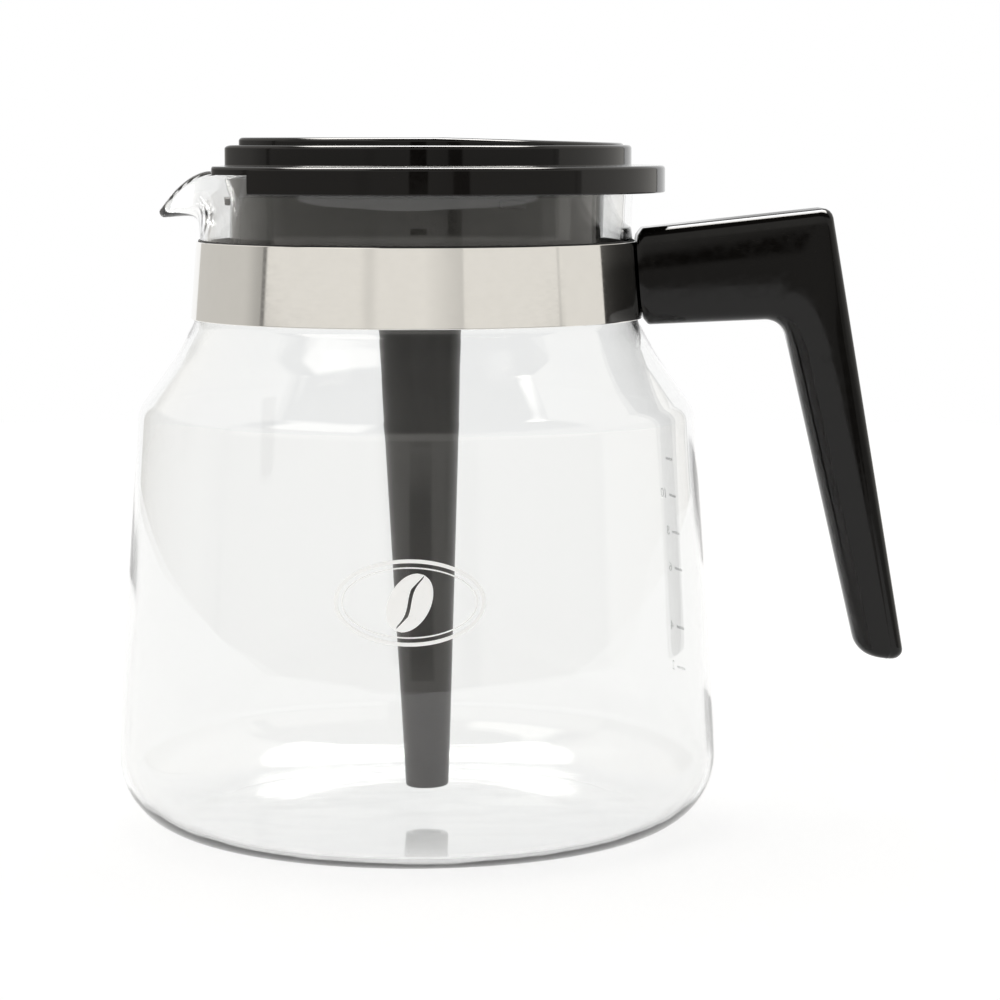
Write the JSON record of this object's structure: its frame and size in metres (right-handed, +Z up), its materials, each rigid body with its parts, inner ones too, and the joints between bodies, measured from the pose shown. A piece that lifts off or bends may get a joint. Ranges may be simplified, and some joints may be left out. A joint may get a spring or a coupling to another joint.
{
  "type": "glass coffee jug",
  "caption": "Glass filter-coffee jug with a drooping pouring spout, clamped steel neck band, moulded handle and a drop-in mixing lid with funnel and long tube.",
  "frame": {"origin": "centre of the jug's flat base, on the surface that it stands on", "axes": "+Z up along the jug's axis, +X towards the handle, the spout points to -X"},
  "size_m": [0.1956, 0.149, 0.1709],
  "materials": {
    "jug_glass": "clear, polished",
    "liner_rubber": "matt",
    "band_steel": "mirror polished stainless",
    "handle_plastic": "gloss",
    "fastener_steel": "zinc plated",
    "white_enamel": "fired enamel print",
    "grey_enamel": "fired enamel print",
    "lid_plastic": "gloss",
    "tube_plastic": "satin gloss"
  },
  "bodies": {
    "jug": {"glass_jug": "jug_glass", "glass_neck": "jug_glass", "band_liner": "liner_rubber", "neck_band": "band_steel", "handle": "handle_plastic", "clamp_screw": "fastener_steel", "spring_washer": "fastener_steel", "square_nut": "fastener_steel", "jug_emblem": "white_enamel", "volume_marks": "grey_enamel"},
    "lid": {"lid_cover": "lid_plastic"},
    "funnel": {"funnel_insert": "lid_plastic", "mixing_tube": "tube_plastic"}
  },
  "joints": [
    {"name": "lid_lift", "type": "slide", "parent": "jug", "child": "lid", "axis": [0, 0, 1], "range_m": [0, 0.165]},
    {"name": "funnel_lift", "type": "slide", "parent": "lid", "child": "funnel", "axis": [0, 0, 1], "range_m": [0, 0.165]}
  ]
}
